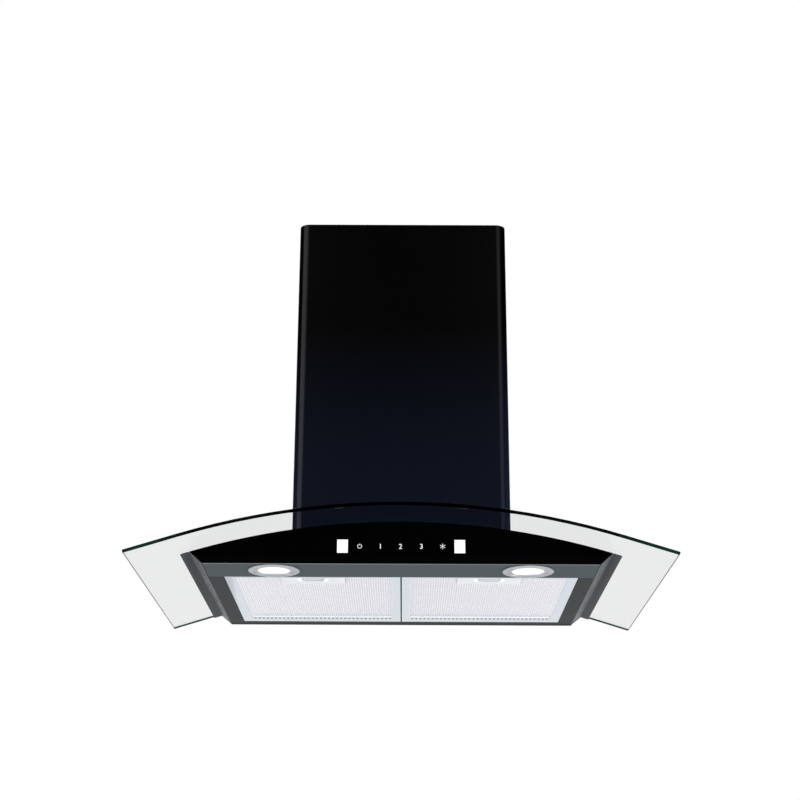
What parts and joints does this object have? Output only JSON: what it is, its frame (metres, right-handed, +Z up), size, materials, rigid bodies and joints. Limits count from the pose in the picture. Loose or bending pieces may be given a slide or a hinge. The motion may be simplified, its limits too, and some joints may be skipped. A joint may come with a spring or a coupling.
{
  "type": "curved glass range hood",
  "caption": "Wall-mounted range hood: arched glass canopy, slim body with grease filters, lamps and touch controls, telescopic chimney and blower inside.",
  "frame": {"origin": "on the wall, on the centre line, level with the underside of the body", "axes": "+X to the right when facing the hood from the room, +Y into the wall, +Z up"},
  "size_m": [0.75, 0.51, 0.6011],
  "materials": {
    "clear_glass": "clear, polished edges",
    "black_rubber": "matt",
    "zinc_steel": "zinc plated sheet",
    "screw_steel": "plated",
    "grey_steel": "satin dark grey",
    "black_gloss": "high gloss",
    "white_window": "translucent",
    "green_board": "circuit board with parts",
    "black_plastic": "fine grain",
    "grey_plastic": "fine grain",
    "bright_steel": "ground",
    "motor_aluminium": "cast",
    "black_steel": "gloss black",
    "black_screw": "black",
    "bezel_metal": "satin chrome",
    "white_lens": "frosted diffuser",
    "filter_aluminium": "anodised",
    "mesh_aluminium": "folded mesh"
  },
  "bodies": {
    "housing": {"back_panel": "zinc_steel", "blower_box": "zinc_steel", "blower_box_lid": "zinc_steel", "body_tray": "grey_steel", "box_screws": "screw_steel", "cable_gland": "black_plastic", "capacitor": "motor_aluminium", "capacitor_clip": "zinc_steel", "chimney_rests": "zinc_steel", "chimney_screws": "black_screw", "clamp_pads": "black_rubber", "clamp_screws": "screw_steel", "collar_screws": "screw_steel", "control_board": "green_board", "control_box": "grey_plastic", "control_box_lid": "grey_plastic", "front_panel": "black_gloss", "gland_nut": "black_plastic", "glass_canopy": "clear_glass", "glass_clamp_front": "zinc_steel", "glass_clamp_left": "zinc_steel", "glass_clamp_right": "zinc_steel", "glass_seals": "black_rubber", "indicator_window_left": "white_window", "indicator_window_right": "white_window", "lamp_bezel_left": "bezel_metal", "lamp_bezel_right": "bezel_metal", "lamp_gasket_left": "black_rubber", "lamp_gasket_right": "black_rubber", "lamp_housing_left": "zinc_steel", "lamp_housing_right": "zinc_steel", "lamp_lens_left": "white_lens", "lamp_lens_right": "white_lens", "lamp_panel": "grey_steel", "lower_chimney": "black_steel", "motor": "motor_aluminium", "motor_bracket": "zinc_steel", "motor_screws": "screw_steel", "outlet_collar": "black_plastic", "panel_screws": "screw_steel", "top_deck": "grey_steel", "touch_board": "green_board", "volute_left": "black_plastic", "volute_right": "black_plastic"},
    "filter_left": {"filter_frame_left": "filter_aluminium", "filter_mesh_left": "mesh_aluminium", "filter_handle_left": "filter_aluminium"},
    "filter_right": {"filter_frame_right": "filter_aluminium", "filter_mesh_right": "mesh_aluminium", "filter_handle_right": "filter_aluminium"},
    "latch_left": {"filter_latch_left": "grey_plastic"},
    "latch_right": {"filter_latch_right": "grey_plastic"},
    "blower_wheel": {"impeller": "grey_plastic", "motor_shaft": "bright_steel"},
    "damper_front": {"damper_flap_front": "grey_plastic"},
    "damper_rear": {"damper_flap_rear": "grey_plastic"},
    "upper_cover": {"upper_chimney": "black_steel", "upper_wall_bracket": "zinc_steel", "bracket_screws": "screw_steel"}
  },
  "joints": [
    {"name": "filter_left_swing", "type": "hinge", "parent": "housing", "child": "filter_left", "pos_m": [0, -0.0265, 0.0005], "axis": [1, 0, 0], "range_deg": [0, 80]},
    {"name": "filter_right_swing", "type": "hinge", "parent": "housing", "child": "filter_right", "pos_m": [0, -0.0265, 0.0005], "axis": [1, 0, 0], "range_deg": [0, 80]},
    {"name": "latch_left_slide", "type": "slide", "parent": "filter_left", "child": "latch_left", "axis": [0, 1, 0], "range_m": [0, 0.005], "stiffness_N_per_m": 400, "springref_m": -0.002},
    {"name": "latch_right_slide", "type": "slide", "parent": "filter_right", "child": "latch_right", "axis": [0, 1, 0], "range_m": [0, 0.005], "stiffness_N_per_m": 400, "springref_m": -0.002},
    {"name": "wheel_spin", "type": "hinge", "parent": "housing", "child": "blower_wheel", "pos_m": [0, -0.156, 0.175], "axis": [1, 0, 0], "continuous": true},
    {"name": "damper_front_swing", "type": "hinge", "parent": "housing", "child": "damper_front", "pos_m": [0, -0.09279, 0.3652], "axis": [-1, 0, 0], "range_deg": [0, 75]},
    {"name": "damper_rear_swing", "type": "hinge", "parent": "housing", "child": "damper_rear", "pos_m": [0, -0.08479, 0.3652], "axis": [1, 0, 0], "range_deg": [0, 75]},
    {"name": "upper_cover_slide", "type": "slide", "parent": "housing", "child": "upper_cover", "axis": [0, 0, 1], "range_m": [0, 0.4]}
  ]
}
